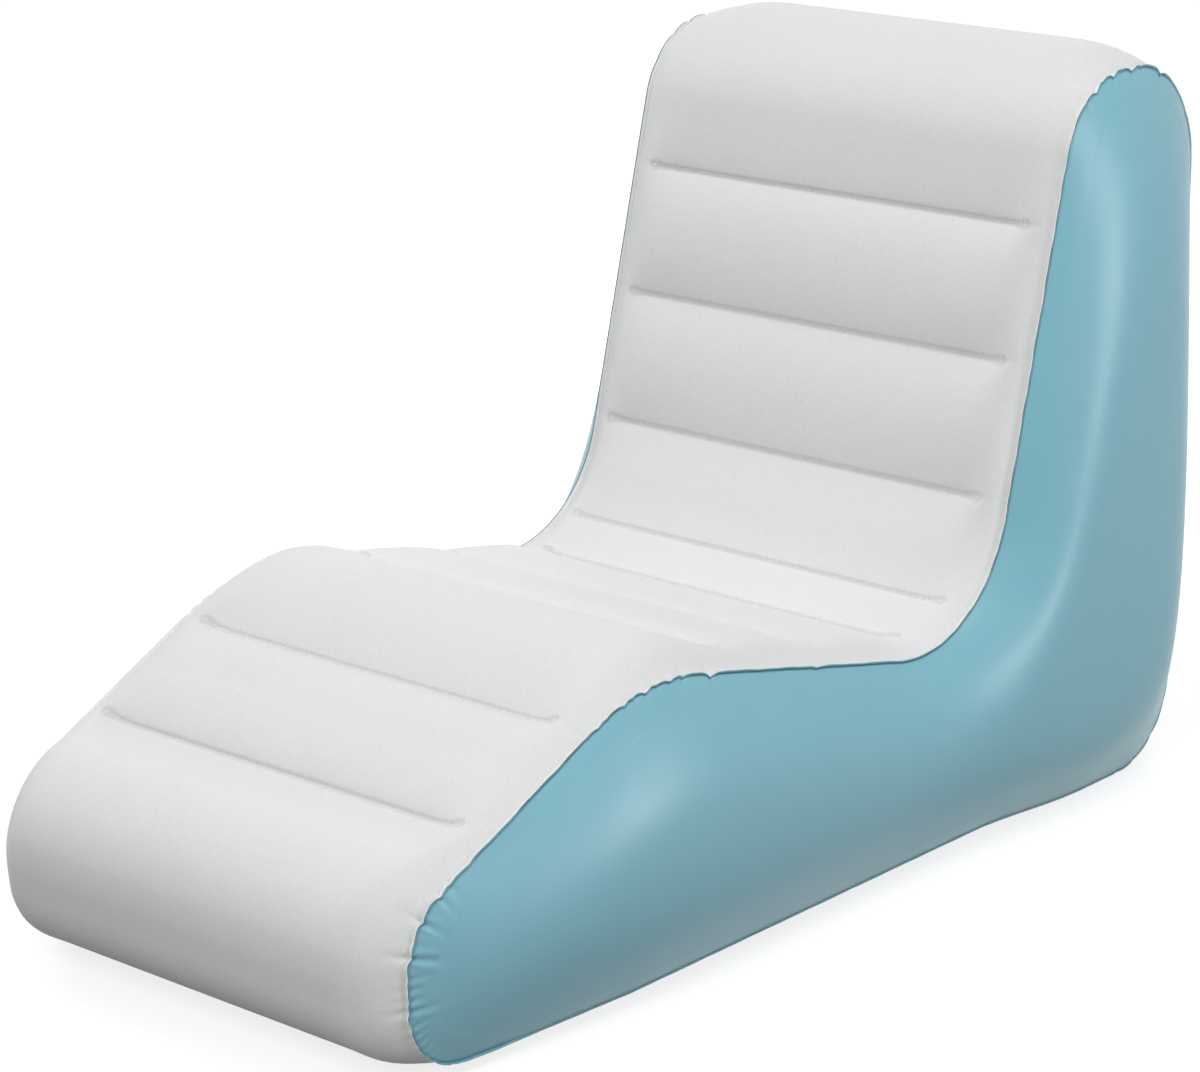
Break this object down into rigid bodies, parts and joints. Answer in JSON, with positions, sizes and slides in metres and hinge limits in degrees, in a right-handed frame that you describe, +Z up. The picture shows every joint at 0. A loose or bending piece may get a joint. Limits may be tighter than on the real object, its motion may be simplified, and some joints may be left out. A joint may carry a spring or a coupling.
{
  "type": "inflatable chaise lounge",
  "caption": "Inflatable lounge chair of welded sheets: leg ramp, seat and high backrest with cross channels held by inner webs, bulging side panels and a screw valve low in the rear.",
  "frame": {"origin": "middle of the footprint's bounding box, on the floor", "axes": "+Z up, +Y from the toe end to the backrest, +X to the sitter's left"},
  "size_m": [0.7892, 1.4986, 0.9461],
  "materials": {
    "flocked_vinyl": "fine flocked face on vinyl",
    "teal_vinyl": "satin vinyl",
    "web_vinyl": "plain vinyl",
    "valve_plastic": "moulded",
    "seal_rubber": "moulded",
    "flap_rubber": "soft, translucent"
  },
  "bodies": {
    "air_body": {"flocked_top_sheet": "flocked_vinyl", "base_sheet": "teal_vinyl", "side_panel_left": "teal_vinyl", "side_panel_right": "teal_vinyl", "back_baffle_1": "web_vinyl", "back_baffle_2": "web_vinyl", "back_baffle_3": "web_vinyl", "back_baffle_4": "web_vinyl", "seat_baffle_1": "web_vinyl", "seat_baffle_2": "web_vinyl", "seat_baffle_3": "web_vinyl", "leg_baffle_1": "web_vinyl", "leg_baffle_2": "web_vinyl", "valve_base": "valve_plastic"},
    "gasket": {"valve_gasket": "seal_rubber"},
    "plug": {"valve_plug": "valve_plastic", "cap_strap": "valve_plastic", "flap_retainer": "valve_plastic"},
    "cap": {"valve_cap": "valve_plastic"},
    "flap": {"valve_flap": "flap_rubber"}
  },
  "joints": [
    {"name": "plug_slide", "type": "slide", "parent": "air_body", "child": "gasket", "axis": [0, 1, 0], "range_m": [0, 0.0126]},
    {"name": "plug_turn", "type": "hinge", "parent": "gasket", "child": "plug", "pos_m": [0, 0.72863, 0.185], "axis": [0, 1, 0], "range_deg": [0, 1080]},
    {"name": "cap_hinge", "type": "hinge", "parent": "plug", "child": "cap", "pos_m": [0, 0.74733, 0.2037], "axis": [1, 0, 0], "range_deg": [0, 150]},
    {"name": "flap_hinge", "type": "hinge", "parent": "plug", "child": "flap", "pos_m": [0, 0.73633, 0.1996], "axis": [-1, 0, 0], "range_deg": [0, 40]}
  ],
  "couplings": [
    {"joint": "plug_slide", "follows": "plug_turn", "m_per_rad": 0.000668}
  ]
}
